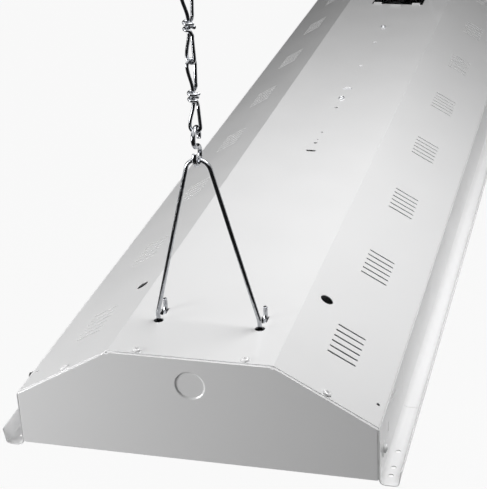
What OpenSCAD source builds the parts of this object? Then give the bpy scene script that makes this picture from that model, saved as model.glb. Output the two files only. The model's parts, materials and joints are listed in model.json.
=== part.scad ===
/* [Housing] */
// Room from a lamp's cap face to the end of the light
end_room = 11; // [10.9:0.1:13]
// Width of the housing over its side walls
body_w = 249; // [236:1:270]
// Width of the flat top panel
top_w = 113; // [100:1:124]
// Height of the housing from its bottom edge to the top panel
body_h = 78; // [74:1:90]
// Height of the vertical side walls
side_h = 39.2; // [36:0.2:44]
// Thickness of the sheet steel
sheet_t = 0.8; // [0.6:0.1:1]
// Width of the inward flanges along the bottom edges
flange_w = 8; // [6:0.5:10]
// Depth of the end plates' flanges
plate_flange = 12; // [10:0.5:13]

/* [Vents] */
// Groups of vent slots along each shoulder
vent_groups = 10; // [2:1:10]
// Slots in one group
vent_slots = 6; // [2:1:7]
// Spacing of the slots in a group
slot_pitch = 7.26; // [5:0.02:9]
// Length of a slot down the shoulder
slot_len = 22; // [14:0.5:30]
// Width of a slot
slot_w = 1.7; // [1:0.1:2.4]

/* [Top panel holes] */
// Diameter of the outer holes that the hanger's legs pass down
hanger_hole_d = 6.9; // [6.8:0.1:8]
// Width of the slots that the hanger's tails come up through
hanger_slot_w = 4.6; // [4:0.1:6]
// Length of those slots
hanger_slot_len = 10; // [9.8:0.1:12]
// Distance of the hanger's holes and slots from the middle plane
hanger_x = 35.8; // [30:0.2:42]
// Distance from the end to the hanger's swing axis
hanger_inset = 56.9; // [50:0.5:70]
// Width of the hanger's U bend between the leg and the tail
hanger_pitch = 16.1; // [15.8:0.1:16.6]
// Diameter of the round cable holes in the shoulders
cable_hole_d = 9.6; // [7:0.2:12]
// Distance of the cable holes from the end
cable_inset = 110; // [96:1:120]
// Distance of the cable holes down the shoulder from the top fold
cable_down = 14; // [10:0.5:18]
// Diameter of the stem hole in the top panel
stem_hole_d = 8.8; // [6:0.2:11]
// Width of the wiring opening across the top panel
wiring_w = 58; // [40:1:70]
// Length of the wiring opening along the light
wiring_len = 30; // [20:1:40]

/* [Side rails] */
// Thickness of the rail sheet
rail_t = 0.7; // [0.5:0.1:0.8]
// Reach of the gutter outside the side wall
gutter_w = 15; // [13:0.5:18]
// Depth of the gutter below the bottom edge
gutter_drop = 3; // [2:0.5:5]
// Height of the lip above the bottom edge
lip_h = 9; // [7:0.5:13]
// Radius of the cove between wall and gutter
cove_r = 7; // [3:0.5:8]
// Length of a rail end
rail_end_len = 96; // [80:1:110]
// Diameter of the small holes in a rail end's gutter
gutter_hole_d = 3.5; // [2.5:0.1:4]

/* [Hanger and chain] */
// Diameter of the hanger wire
hanger_wire_d = 3; // [2.6:0.1:3.2]
// Lean of the hanger's legs from the vertical, in degrees
hanger_lean = 14.3; // [13:0.1:16]
// Radius of the hanger's top bend
apex_r = 8.5; // [7:0.5:11]
// Height of the hanger's tails above the top panel
tail_h = 8.5; // [7:0.5:12]
// Diameter of the S-hook wire
hook_wire_d = 3.2; // [2.8:0.1:3.4]
// Radius of the S-hook's two bends
hook_r = 6.25; // [6:0.05:7]
// Diameter of the chain wire
chain_wire_d = 2.3; // [2:0.1:2.4]
// Length of a chain link between the middles of its end bends
link_len = 48.2; // [46:0.2:56]
// Radius of a link's end bends
loop_r = 3.5; // [3.4:0.1:4]
// Turn of a link's upper loop against its lower one, in degrees
link_twist = 60; // [45:5:90]

/* [Lamps] */
// Diameter of a lamp tube
tube_d = 25.4; // [25:0.1:26]
// Width left beside the lamps' bays, at each side of the light
lamp_margin = 8.5; // [6:0.5:14]
// Height of the lamp axes above the bottom edge
lamp_rise = 18; // [17:0.5:20]
// Length of a lamp between its cap faces
lamp_len = 1198; // [1128:5:1278]
// Length of the contact pins
pin_len = 7; // [6.5:0.1:7.2]
// Diameter of the contact pins
pin_d = 2.4; // [2.2:0.1:2.5]
// Spacing of the two pins of a cap
pin_gap = 12.7; // [12.5:0.1:12.9]
// Radius of the rotor in a lampholder
rotor_r = 8.5; // [8.2:0.1:9]

/* [Gear] */
// Length of the ballast case
ballast_len = 216; // [180:1:240]
// Width of the ballast case
ballast_w = 43; // [36:1:50]
// Height of the ballast case
ballast_h = 30; // [24:1:32]
// Thickness of the reflector sheet
reflector_t = 0.5; // [0.4:0.1:0.6]

/* [Hidden] */

// The origin lies under the middle of the light, level with what it stands on: +Y along the light, +Z up.
// The pieces are drawn about the middle of the top panel's upper face, and stood() raises them.
// Overrun of every cut past the face it opens
over = 1;
// Face-to-face gap between pieces that touch
seat = 0.05;
// Running gap of wire on wire
wire_gap = 0.05;
// Gap between the end plate and the housing's edge, seen as a dark seam
seam = 0.3;
// Number of lamps
lamp_count = 4;
lamp_pitch = (body_w - 2 * lamp_margin) / lamp_count;
vent_pitch = lamp_len / vent_groups;
// Outer radius of the bends in the housing, and the steps that draw a quarter of it
bend_r = 1.2;
bend_facets = 3;

light_len = lamp_len + 2 * end_room;
half_len = light_len / 2;
half_w = body_w / 2;
half_top = top_w / 2;
bottom_z = -body_h;
shoulder_z = side_h - body_h;
slope_run = half_w - half_top;
slope_len = norm([slope_run, shoulder_z]);
slope_angle = atan2(-shoulder_z, slope_run);
shell_half = half_len - sheet_t - seam;
plate_inner = half_len - sheet_t;

// Screw sizes, shared by all the small screws
screw_shank_r = 1.7;
screw_head_r = 2.9;
screw_head_h = 1.7;
screw_len = 5;
screw_hole_r = 1.75;
recess_w = 0.7;
recess_l = 3.2;
recess_depth = 0.8;
head_round_share = 0.7;

// Places of the end plate screws: on the top panel and on the shoulders
end_screw_x = 37;
end_screw_inset = 6.5;
end_screw_down = 39;

// Knockout in the end plate
knockout_r = 10.6;
knockout_gap = 0.2;
knockout_down = 19.5;
knockout_step = 0.45;
corner_notch_r = 1.3;

// Rows of small holes on the centre line, as shares of half the length
centre_hole_shares = [-0.368, -0.354, -0.325, -0.219, -0.0185, 0.1095];
centre_hole_ds = [3.4, 2, 2.6, 3.4, 3.6, 4];
stem_share = -0.1325;
centre_slot_share = -0.398;
centre_slot_len = 9;
centre_slot_w = 4;

// Wiring opening: its near edge as a share of half the length, and the raised tabs in front of it
wiring_share = 0.343;
side_tab_x = 22;
side_tab_w = 9;
side_tab_len = 9;
middle_tab_w = 12;
middle_tab_len = 14;
middle_tab_gap = 7;
tab_rise = 2;

// Middle of a tail's slot, past the hanger's swing axis
hanger_slot_out = 4.6;

// Small hole near the shoulder's lower edge and the plug hole in the left wall
edge_hole_r = 1.3;
edge_hole_inset = 26.3;
edge_hole_down = 73;
plug_inset = 31.5;
plug_drop = 5;
plug_stem_r = 2.6;
plug_head_r = 3.4;
plug_head_h = 1.5;
plug_cap_r = 2.4;
plug_cap_h = 2;
plug_stem_len = 2.4;

// Details of a rail end, measured from the end of the light
gutter_hole_insets = [11.3, 20.8, 39.9];
gutter_hole_out = 8.6;
rail_bend_r = 2;
rail_gap = 0.3;
lip_lean = 1.8;
lip_cut_len = 9;
clip_slot_inset = 54;
clip_slot_len = 15;
clip_slot_w = 2.4;
clip_slot_rise = 32.4;
tick_inset = 33;
tick_rise = 21;
tick_len = 7.5;
tick_w = 1.2;
lip_slot_inset = 106;
lip_slot_len = 14;
lip_slot_w = 3;
rail_screw_inset = 16.6;
rail_screw_rise = 14.4;
boss_r = 6;
boss_h = 0.5;

// Socket bar, just inside the end plate's flange, and lampholders
bar_drop = body_h - side_h + 2 * sheet_t + seat;
bar_reach = 28;
ear_len = 14.5;
ear_rise = 5;
holder_w = 24;
holder_gap = 0.4;
holder_slot_w = 3.2;
pocket_floor = 2;
post_r = 3;
post_h = 2.5;
rotor_gap = 0.08;
rotor_len = 7.5;
rotor_floor = 0.7;
rotor_slot_w = 2.7;

// Lamp axes and ends, and the holders' faces
lamp_z = bottom_z + lamp_rise;
lamp_half = lamp_len / 2;
holder_front = lamp_half + holder_gap;
bar_top = -bar_drop + sheet_t;
post_y = (holder_front + plate_inner) / 2;

// Lamp caps
cap_r = 12.95;
cap_len = 14;
cap_t = 1.2;
tube_t = 0.9;

// Reflector outline
trough_half = 9;
ridge_drop = 9;
reflector_margin = 15;
reflector_lip = 4.5;
reflector_clear = 3;
reflector_screw_inset = 22;

// Ballast place and feet
ballast_y = 5.3;
foot_len = 12.5;
foot_t = 1.2;
ballast_screw_in = 6;

// Leads
lead_r = 3.2;
lead_drop = 16;
lead_bend_r = 10;
branch_r = 1.8;
lead_inset = 17;
branch_end = 7;

// Hanger, hooks and chain, from the wire sizes
wire_r = hanger_wire_d / 2;
hook_wire_r = hook_wire_d / 2;
chain_r = chain_wire_d / 2;
hanger_y = half_len - hanger_inset;
u_r = hanger_pitch / 2;
web_half = (hanger_pitch - hanger_hole_d) / 2;
pivot_z = sqrt(pow(u_r - wire_r - wire_gap, 2) - pow(web_half, 2)) - sheet_t;
shank_bend_r = 15;
shank_top_x = hanger_x - shank_bend_r * (1 - cos(hanger_lean));
leg_len = (shank_top_x - apex_r * cos(hanger_lean)) / sin(hanger_lean);
leg_top_z = pivot_z + shank_bend_r * sin(hanger_lean) + leg_len * cos(hanger_lean);
apex_z = leg_top_z - apex_r * sin(hanger_lean) + apex_r;
chain_y = hanger_y + u_r;
// Middle of the lower S-hook: its bottom bend lies under the hanger's apex
lower_hook_z = apex_z - wire_r - hook_wire_r - wire_gap + 2 * hook_r;
hook_top_z = lower_hook_z + 2 * hook_r;
link_1_z = hook_top_z - hook_wire_r - chain_r - wire_gap + link_len / 2;
link_step = link_len - 2 * chain_r - wire_gap;
link_2_z = link_1_z + link_step;
link_turn = link_twist - 90;
upper_hook_z = link_2_z + link_len / 2 - chain_r - hook_wire_r - wire_gap + 2 * hook_r;
hook_closed = 120;
hook_open = 75;
hook_steps = 20;
bend_steps = 16;
shank_steps = 4;
wire_sides = 10;

// Knot of a chain link
wrap_r = 2 * chain_r + 0.45;
wrap_top = 5.6;
wrap_low = 1.45;
wrap_rise = 1;
wrap_turn = 285;
wrap_fall_share = 0.25;
core_top = 3.6;
end_tail = 2.2;
end_flare_share = 0.25;
link_sides = 8;
link_steps = 12;
wrap_steps = 16;
leg_steps = 4;

white = [0.9, 0.9, 0.9];
zinc = [0.75, 0.76, 0.78];
black = [0.06, 0.06, 0.06];

$fn = 48;

// Unit vector, and the vector turned left by a quarter turn
function unit(v) = v / norm(v);
function left(v) = [-v[1], v[0]];

// Point i of polyline p moved to its left by distance d, mitred at the corners
function mitred(p, i, d) =
    let (a = p[max(i - 1, 0)])
    let (b = p[i])
    let (c = p[min(i + 1, len(p) - 1)])
    let (n1 = left(unit(i == 0 ? c - b : b - a)))
    let (n2 = left(unit(i == len(p) - 1 ? b - a : c - b)))
    let (m = unit(n1 + n2))
    b + m * d / (m * n1);

// Polyline p with its inner corners rounded by radius r
function bent(p, r) = concat(
    [p[0]],
    [for (i = [1:len(p) - 2]) each corner(p, i, r, bend_facets)],
    [p[len(p) - 1]]
);

// Closed outline p with all its corners rounded by radius r
function rounded(p, r) =
    let (loop = concat([p[len(p) - 1]], p, [p[0]]))
    [for (i = [1:len(p)]) each corner(loop, i, r, bend_facets)];

// Outline of a sheet of thickness t that lies to the left of polyline p
function strip(p, t) = concat(p, [for (i = [len(p) - 1:-1:0]) mitred(p, i, t)]);

// Corner i of polyline p rounded by radius r, as points on the arc
function corner(p, i, r, steps) =
    let (a = unit(p[i - 1] - p[i]))
    let (b = unit(p[i + 1] - p[i]))
    let (half = acos(a * b) / 2)
    let (mid = p[i] + unit(a + b) * r / sin(half))
    let (from = p[i] + a * r / tan(half) - mid)
    let (sweep = 180 - 2 * half)
    let (dir = a[0] * b[1] - a[1] * b[0] > 0 ? -1 : 1)
    [for (k = [0:steps]) let (w = dir * sweep * k / steps)
        mid + [from[0] * cos(w) - from[1] * sin(w), from[0] * sin(w) + from[1] * cos(w)]];

// The whole outer outline, closed along the bottom
function body_outline() = [
    [-half_w, bottom_z], [-half_w, shoulder_z], [-half_top, 0],
    [half_top, 0], [half_w, shoulder_z], [half_w, bottom_z]
];

// Extrudes an outline drawn in X and Z along Y, between two places
module along_y(y0, y1) {
    translate([0, y1, 0]) rotate([90, 0, 0]) linear_extrude(height = y1 - y0) children();
}

// Puts children on the right shoulder: X down the slope, Y along the light, Z out of the face
module on_shoulder(y, down) {
    translate([half_top + down * cos(slope_angle), y, -down * sin(slope_angle)])
        rotate([0, slope_angle, 0]) children();
}

// Repeats children mirrored to the left side
module both_sides() {
    children();
    mirror([1, 0, 0]) children();
}

// Repeats children mirrored to the far end
module both_ends() {
    children();
    mirror([0, 1, 0]) children();
}

// Slot that runs along X with round ends
module slot_cut(length, width, depth) {
    straight = length - width;
    translate([-straight / 2, -width / 2, -depth / 2]) cube([straight, width, depth]);
    for (s = [-1, 1])
        translate([s * straight / 2, 0, -depth / 2]) cylinder(d = width, h = depth);
}

// Cuts the groups of vent slots through the right shoulder
module vent_cuts() {
    first = -(vent_groups - 1) * vent_pitch / 2;
    group = (vent_slots - 1) * slot_pitch;
    for (g = [0:vent_groups - 1], s = [0:vent_slots - 1])
        on_shoulder(first + g * vent_pitch - group / 2 + s * slot_pitch, slope_len / 2)
            slot_cut(slot_len, slot_w, 4 * sheet_t);
}

// The holes in the top panel and shoulders that lie alike at both ends
module end_hole_cuts() {
    translate([hanger_x, -u_r - hanger_y, -2 * sheet_t]) cylinder(d = hanger_hole_d, h = 4 * sheet_t);
    translate([hanger_x, hanger_slot_out - hanger_y, 0]) tail_slot_cut();
    translate([end_screw_x, end_screw_inset - half_len, -2 * sheet_t])
        cylinder(r = screw_hole_r, h = 4 * sheet_t);
    on_shoulder(end_screw_inset - half_len, end_screw_down)
        translate([0, 0, -2 * sheet_t]) cylinder(r = screw_hole_r, h = 4 * sheet_t);
    on_shoulder(cable_inset - half_len, cable_down)
        translate([0, 0, -2 * sheet_t]) cylinder(d = cable_hole_d, h = 4 * sheet_t);
    on_shoulder(edge_hole_inset - half_len, edge_hole_down)
        translate([0, 0, -2 * sheet_t]) cylinder(r = edge_hole_r, h = 4 * sheet_t);
    translate([half_w - 2 * sheet_t, rail_screw_inset - half_len, bottom_z + rail_screw_rise])
        rotate([0, 90, 0]) cylinder(r = screw_hole_r, h = 4 * sheet_t);
}

// Slot for a hanger's tail: round at the near end and square at the other
module tail_slot_cut() {
    near = hanger_slot_w / 2 - hanger_slot_len / 2;
    translate([0, near, -2 * sheet_t]) cylinder(d = hanger_slot_w, h = 4 * sheet_t);
    translate([-hanger_slot_w / 2, near, -2 * sheet_t])
        cube([hanger_slot_w, hanger_slot_len / 2 - near, 4 * sheet_t]);
}

// Wiring opening in the top panel, past the ballast
module wiring_cut() {
    translate([-wiring_w / 2, wiring_share * half_len, -2 * sheet_t]) cube([wiring_w, wiring_len, 4 * sheet_t]);
}

// Tab raised out of the panel, which climbs along Y to the place zero
module raised_tab(width, length) {
    translate([-width / 2, 0, 0]) rotate([90, 0, 90]) linear_extrude(height = width)
        polygon([[-length, -sheet_t / 2], [0, -sheet_t / 2], [0, tab_rise], [-length, 0]]);
}

// The three tabs in front of the wiring opening
module wiring_tabs() {
    edge = wiring_share * half_len;
    for (s = [-1, 1]) translate([s * side_tab_x, edge, 0]) raised_tab(side_tab_w, side_tab_len);
    translate([0, edge - middle_tab_gap, 0]) raised_tab(middle_tab_w, middle_tab_len);
}

// Holes along the centre line of the top panel
module centre_hole_cuts() {
    for (i = [0:len(centre_hole_shares) - 1])
        translate([0, centre_hole_shares[i] * half_len, -2 * sheet_t])
            cylinder(d = centre_hole_ds[i], h = 4 * sheet_t);
    translate([0, stem_share * half_len, -2 * sheet_t]) cylinder(d = stem_hole_d, h = 4 * sheet_t);
    translate([0, centre_slot_share * half_len, 0]) slot_cut(centre_slot_len, centre_slot_w, 4 * sheet_t);
    for (s = [-1, 1])
        translate([0, ballast_screw_y(s), -2 * sheet_t]) cylinder(r = screw_hole_r, h = 4 * sheet_t);
}

// Bent housing with its bottom flanges, vents and holes
module housing() {
    path = concat(
        [[-half_w + flange_w, bottom_z]], body_outline(), [[half_w - flange_w, bottom_z]]
    );
    color(white) difference() {
        union() {
            along_y(-shell_half, shell_half) polygon(strip(bent(path, bend_r), -sheet_t));
            wiring_tabs();
        }
        wiring_cut();
        both_sides() vent_cuts();
        both_sides() both_ends() end_hole_cuts();
        centre_hole_cuts();
        mirror([1, 0, 0]) plug_bore();
    }
}

// Hole through wall and rail for the plug, on the right side before it is mirrored
module plug_bore() {
    translate([half_w - 2 * sheet_t, plug_inset - half_len, shoulder_z - plug_drop])
        rotate([0, 90, 0]) cylinder(r = plug_stem_r + seat, h = 6 * sheet_t);
}

// Outline of the body moved inwards by d, for the end plate's flange
function inset_outline(d) =
    let (p = body_outline())
    let (n = len(p))
    [for (i = [0:n - 1])
        let (a = p[(i + n - 1) % n])
        let (c = p[(i + 1) % n])
        let (n1 = -left(unit(p[i] - a)))
        let (n2 = -left(unit(c - p[i])))
        let (m = unit(n1 + n2))
        p[i] + m * d / (m * n1)];

// End plate at the near end: plate, flange ring and half-punched knockout
module end_plate() {
    ring_out = sheet_t + seat;
    color(white) difference() {
        union() {
            along_y(-half_len, -plate_inner) polygon(rounded(body_outline(), bend_r));
            along_y(-plate_inner - seat, -plate_inner + plate_flange) difference() {
                polygon(rounded(inset_outline(ring_out), bend_r - ring_out));
                polygon(inset_outline(ring_out + sheet_t));
            }
            translate([0, -plate_inner + knockout_step, -knockout_down])
                rotate([90, 0, 0]) cylinder(r = knockout_r - knockout_gap, h = sheet_t);
        }
        translate([0, -half_len + knockout_step, -knockout_down])
            rotate([90, 0, 0]) cylinder(r = knockout_r, h = over);
        for (s = [-1, 1]) translate([s * half_top, -plate_inner, 0])
            rotate([90, 0, 0]) translate([0, 0, -over]) cylinder(r = corner_notch_r, h = sheet_t + 2 * over);
        both_sides() {
            translate([end_screw_x, end_screw_inset - half_len, -3 * sheet_t])
                cylinder(r = screw_hole_r, h = 4 * sheet_t);
            on_shoulder(end_screw_inset - half_len, end_screw_down)
                translate([0, 0, -3 * sheet_t]) cylinder(r = screw_hole_r, h = 4 * sheet_t);
        }
    }
}

// Section of the right rail: leg on the wall, cove, gutter floor and leaning lip
function rail_path() =
    let (x0 = half_w + seat + rail_t)
    let (floor_z = bottom_z - gutter_drop + rail_t)
    let (p = [
        [x0, shoulder_z - rail_gap], [x0, floor_z],
        [half_w + gutter_w - lip_lean - rail_t, floor_z], [half_w + gutter_w - rail_t, bottom_z + lip_h]
    ])
    concat([p[0]], corner(p, 1, cove_r, 8), corner(p, 2, rail_bend_r, 4), [p[3]]);

module rail_section() {
    polygon(strip(rail_path(), -rail_t));
}

// Slot through the lip of the right rail at the near end
module lip_slot_cut() {
    translate([half_w + gutter_w, lip_slot_inset - half_len, bottom_z + lip_h / 2])
        rotate([0, 0, 90]) rotate([90, 0, 0]) slot_cut(lip_slot_len, lip_slot_w, 6 * rail_t);
}

// Right rail between the rail ends
module rail() {
    reach = half_len - rail_end_len - rail_gap;
    color(white) difference() {
        along_y(-reach, reach) rail_section();
        both_ends() lip_slot_cut();
    }
}

// Rail end at the near right corner, with its holes, slots, boss and sloped lip end
module rail_end() {
    y_end = -half_len + seat;
    color(white) difference() {
        union() {
            along_y(y_end, -half_len + rail_end_len) rail_section();
            translate([half_w + seat, rail_screw_inset - half_len, bottom_z + rail_screw_rise])
                rotate([0, 90, 0]) cylinder(r1 = boss_r, r2 = boss_r - boss_h, h = rail_t + boss_h);
        }
        for (inset = gutter_hole_insets)
            translate([half_w + gutter_hole_out, inset - half_len, bottom_z - gutter_drop - over])
                cylinder(d = gutter_hole_d, h = rail_t + 2 * over);
        translate([half_w + rail_t, clip_slot_inset - half_len, bottom_z + clip_slot_rise])
            rotate([0, 0, 90]) rotate([90, 0, 0]) slot_cut(clip_slot_len, clip_slot_w, 4 * rail_t);
        translate([half_w + rail_t, tick_inset - half_len, bottom_z + tick_rise])
            rotate([0, 90, 0]) slot_cut(tick_len, tick_w, 4 * rail_t);
        translate([half_w - over, rail_screw_inset - half_len, bottom_z + rail_screw_rise])
            rotate([0, 90, 0]) cylinder(r = screw_hole_r, h = 3 * over);
        sloped_lip_cut(y_end);
    }
}

// Near left rail end, which the plug goes through
module left_rail_end() {
    color(white) mirror([1, 0, 0]) difference() {
        rail_end();
        plug_bore();
    }
}

// Takes the lip's corner off along a slope, from the floor at the end to the lip's top
module sloped_lip_cut(y_end) {
    x0 = half_w + gutter_w - 2 * lip_lean - 2 * rail_t;
    rise = lip_h + gutter_drop - rail_bend_r;
    translate([x0, y_end, bottom_z + lip_h - rise]) rotate([90, 0, 90])
        linear_extrude(height = gutter_w) polygon([[-over, 0], [0, 0], [lip_cut_len, rise + over], [-over, rise + over]]);
}

// Pan-head screw with its head standing on Z zero and a cross recess
module screw(shank) {
    difference() {
        union() {
            cylinder(r = screw_head_r, h = screw_head_h / 2);
            translate([0, 0, screw_head_h / 2])
                cylinder(r1 = screw_head_r, r2 = screw_head_r * head_round_share, h = screw_head_h / 2);
            translate([0, 0, -shank]) cylinder(r = screw_shank_r, h = shank + seat);
        }
        for (a = [0, 90]) rotate([0, 0, a])
            translate([-recess_l / 2, -recess_w / 2, screw_head_h - recess_depth])
                cube([recess_l, recess_w, over]);
    }
}

// The eight screws that hold the end plates' flanges
module end_screws() {
    color(white) both_ends() both_sides() {
        translate([end_screw_x, end_screw_inset - half_len, seat]) screw(screw_len);
        on_shoulder(end_screw_inset - half_len, end_screw_down) translate([0, 0, seat]) screw(screw_len);
    }
}

// The four screws through rail end, side wall and socket bar
module rail_screws() {
    color(white) both_ends() both_sides()
        translate([half_w + 2 * seat + rail_t + boss_h, rail_screw_inset - half_len, bottom_z + rail_screw_rise])
            rotate([0, 90, 0]) screw(screw_len);
}

// Black push-in plug in the left side
module hole_plug() {
    face = half_w + rail_t + 2 * seat;
    color(black) mirror([1, 0, 0])
        translate([face, plug_inset - half_len, shoulder_z - plug_drop]) rotate([0, 90, 0]) {
            cylinder(r = plug_head_r, h = plug_head_h);
            translate([0, 0, plug_head_h - seat]) cylinder(r = plug_cap_r, h = plug_cap_h);
            translate([0, 0, -plug_stem_len]) cylinder(r = plug_stem_r, h = plug_stem_len + seat);
        }
}

// Place of lamp n across the light
function lamp_x(n) = (n - (lamp_count + 1) / 2) * lamp_pitch;

// Socket bar at the near end: web over the holders and two ears on the side walls
module socket_bar() {
    wall_x = half_w - sheet_t - seat;
    narrow_x = wall_x - 2 * sheet_t;
    y_in = bar_reach - half_len;
    y_ear = y_in - ear_len;
    color(white) difference() {
        union() {
            translate([-wall_x, y_ear, -bar_drop]) cube([2 * wall_x, ear_len, sheet_t]);
            translate([-narrow_x, -plate_inner + seat, -bar_drop])
                cube([2 * narrow_x, y_ear + plate_inner + seat, sheet_t]);
            both_sides() translate([wall_x - sheet_t, y_ear, bottom_z + ear_rise])
                cube([sheet_t, ear_len, body_h - ear_rise - bar_drop + seat]);
        }
        for (n = [1:lamp_count]) translate([lamp_x(n), -post_y, -bar_drop - over])
            cylinder(r = post_r + seat, h = sheet_t + 2 * over);
        both_sides() {
            translate([wall_x - 2 * sheet_t, rail_screw_inset - half_len, bottom_z + rail_screw_rise])
                rotate([0, 90, 0]) cylinder(r = screw_hole_r, h = 4 * sheet_t);
            translate([lamp_pitch / 2, reflector_screw_inset - half_len, -bar_drop - over])
                cylinder(r = screw_hole_r, h = sheet_t + 2 * over);
        }
    }
}

// Lampholder n at the near end: round-bottomed body with rotor pocket, entry slot and post
module holder(n) {
    depth = plate_inner - holder_front - 2 * seat;
    top_rise = -bar_drop - seat - lamp_z;
    pocket_depth = depth - pocket_floor;
    color(white) translate([lamp_x(n), -holder_front, lamp_z]) {
        difference() {
            rotate([90, 0, 0]) linear_extrude(height = depth) {
                circle(d = holder_w);
                translate([-holder_w / 2, 0]) square([holder_w, top_rise]);
            }
            translate([0, over, 0]) rotate([90, 0, 0])
                cylinder(r = rotor_r + rotor_gap, h = pocket_depth + over);
            translate([-holder_slot_w / 2, -pocket_depth, -holder_w])
                cube([holder_slot_w, pocket_depth + over, holder_w]);
        }
        translate([0, holder_front - post_y, top_rise - seat]) cylinder(r = post_r, h = post_h);
    }
}

// Puts children at the near end of lamp n: X across, Z out of the lamp's end
module at_lamp_end(n) {
    translate([lamp_x(n), -lamp_half, lamp_z]) rotate([90, 0, 0]) children();
}

module lamp_tube(n) {
    reach = lamp_half - cap_t - seat;
    color([0.95, 0.96, 0.95]) translate([lamp_x(n), 0, lamp_z]) rotate([90, 0, 0]) difference() {
        cylinder(d = tube_d, h = 2 * reach, center = true);
        cylinder(r = tube_d / 2 - tube_t, h = 2 * reach + over, center = true);
    }
}

module lamp_caps(n) {
    color(zinc) both_ends() at_lamp_end(n) translate([0, 0, -cap_len]) difference() {
        cylinder(r = cap_r, h = cap_len);
        translate([0, 0, -over]) cylinder(r = tube_d / 2 + seat, h = cap_len - cap_t + over);
    }
}

module lamp_pins(n) {
    color([0.85, 0.7, 0.4]) both_ends() at_lamp_end(n) for (s = [-1, 1])
        translate([s * pin_gap / 2, 0, 0]) cylinder(d = pin_d, h = pin_len);
}

module lamp_rotors(n) {
    color(white) both_ends() at_lamp_end(n) translate([0, 0, holder_gap]) difference() {
        cylinder(r = rotor_r, h = rotor_len);
        translate([-rotor_r, -rotor_slot_w / 2, -over])
            cube([2 * rotor_r, rotor_slot_w, rotor_len - rotor_floor + over]);
    }
}

// Section of the reflector: a trough over each lamp, a ridge between, and lips on the bottom flanges
function reflector_path() =
    let (top_z = -bar_drop - seat)
    let (low_z = bottom_z + sheet_t + seat)
    let (edge_x = half_w - reflector_clear)
    let (troughs = [for (n = [1:lamp_count]) each [
        if (n > 1) [lamp_x(n) - lamp_pitch / 2, lamp_z - ridge_drop],
        [lamp_x(n) - trough_half, top_z],
        [lamp_x(n) + trough_half, top_z]
    ]])
    concat(
        [[reflector_lip - edge_x, low_z], [-edge_x, low_z]], troughs,
        [[edge_x, low_z], [edge_x - reflector_lip, low_z]]
    );

module reflector() {
    reach = half_len - reflector_margin;
    color([0.8, 0.82, 0.84]) difference() {
        along_y(-reach, reach) polygon(strip(reflector_path(), -reflector_t));
        both_ends() both_sides()
            translate([lamp_pitch / 2, reflector_screw_inset - half_len, -bar_drop - 3 * over])
                cylinder(r = screw_hole_r, h = 4 * over);
    }
}

module reflector_screws() {
    z = -bar_drop - reflector_t - 2 * seat;
    color(zinc) both_ends() both_sides()
        translate([lamp_pitch / 2, reflector_screw_inset - half_len, z]) mirror([0, 0, 1]) screw(screw_len);
}

// Place of the ballast's fixing screws along the light
function ballast_screw_y(s) = ballast_y + s * (ballast_len / 2 + foot_len - ballast_screw_in);

// Ballast case with a mounting foot at each end
module ballast() {
    top = -sheet_t - seat;
    color([0.82, 0.83, 0.85]) difference() {
        union() {
            translate([-ballast_w / 2, ballast_y - ballast_len / 2, top - ballast_h])
                cube([ballast_w, ballast_len, ballast_h]);
            translate([-ballast_w / 2, ballast_y - ballast_len / 2 - foot_len, top - foot_t])
                cube([ballast_w, ballast_len + 2 * foot_len, foot_t]);
        }
        for (s = [-1, 1]) translate([0, ballast_screw_y(s), top - foot_t - over])
            cylinder(r = screw_hole_r, h = foot_t + 2 * over);
    }
}

module ballast_screws() {
    color(zinc) for (s = [-1, 1]) translate([0, ballast_screw_y(s), seat]) screw(screw_len);
}

// Bundled leads at the near end, from a ballast centred at the given place: along the housing, down to
// the socket bar and across it
module leads(centre) {
    run_z = -sheet_t - lead_drop;
    start = centre - ballast_len / 2 - seat;
    turn_y = lead_inset - half_len;
    bar_z = bar_top + seat + branch_r;
    branch_x = lamp_x(lamp_count) - branch_end;
    color(black) {
        translate([0, start, run_z]) rotate([90, 0, 0]) cylinder(r = lead_r, h = start - turn_y - lead_bend_r);
        translate([0, turn_y + lead_bend_r, run_z - lead_bend_r]) rotate([90, 0, -90])
            rotate_extrude(angle = 90) translate([lead_bend_r, 0]) circle(r = lead_r);
        translate([0, turn_y, bar_z]) cylinder(r = lead_r, h = run_z - lead_bend_r - bar_z);
        translate([-branch_x, turn_y, bar_z]) rotate([0, 90, 0]) cylinder(r = branch_r, h = 2 * branch_x);
    }
}

// Right half of the hanger's wire at y zero: tail, U bend through the two holes, bend of the leg, apex
function hanger_half() = concat(
    [[hanger_x, u_r, tail_h]],
    [for (k = [0:bend_steps]) let (a = 180 * k / bend_steps)
        [hanger_x, u_r * cos(a), pivot_z - u_r * sin(a)]],
    [for (k = [1:shank_steps]) let (a = hanger_lean * k / shank_steps)
        [hanger_x - shank_bend_r * (1 - cos(a)), -u_r, pivot_z + shank_bend_r * sin(a)]],
    [for (k = [0:shank_steps]) let (a = hanger_lean + (90 - hanger_lean) * k / shank_steps)
        [apex_r * cos(a), -u_r, apex_z - apex_r * (1 - sin(a))]]
);

// Hanger at the near end: one wire from the right tail over the apex to the left tail
module hanger() {
    half = hanger_half();
    path = concat(half, [for (k = [len(half) - 2:-1:0]) [-half[k][0], half[k][1], half[k][2]]]);
    color(zinc) translate([0, -hanger_y, 0]) swept_wire(path, wire_r, wire_sides);
}

// Path of an S-hook's wire in the YZ plane, from its top tip to its bottom tip: each bend goes past the
// half circle by the given angle
function hook_path(top_wrap, bottom_wrap) = concat(
    [for (k = [0:hook_steps]) let (a = 90 - top_wrap + (180 + top_wrap) * k / hook_steps)
        [0, hook_r * cos(a), hook_r * (1 + sin(a))]],
    [for (k = [hook_steps - 1:-1:0]) let (a = 270 - bottom_wrap + (180 + bottom_wrap) * k / hook_steps)
        [0, hook_r * cos(a), hook_r * (sin(a) - 1)]]
);

// S-hook about its middle
module s_hook(top_wrap, bottom_wrap) {
    color(zinc) swept_wire(hook_path(top_wrap, bottom_wrap), hook_wire_r, wire_sides);
}

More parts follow.
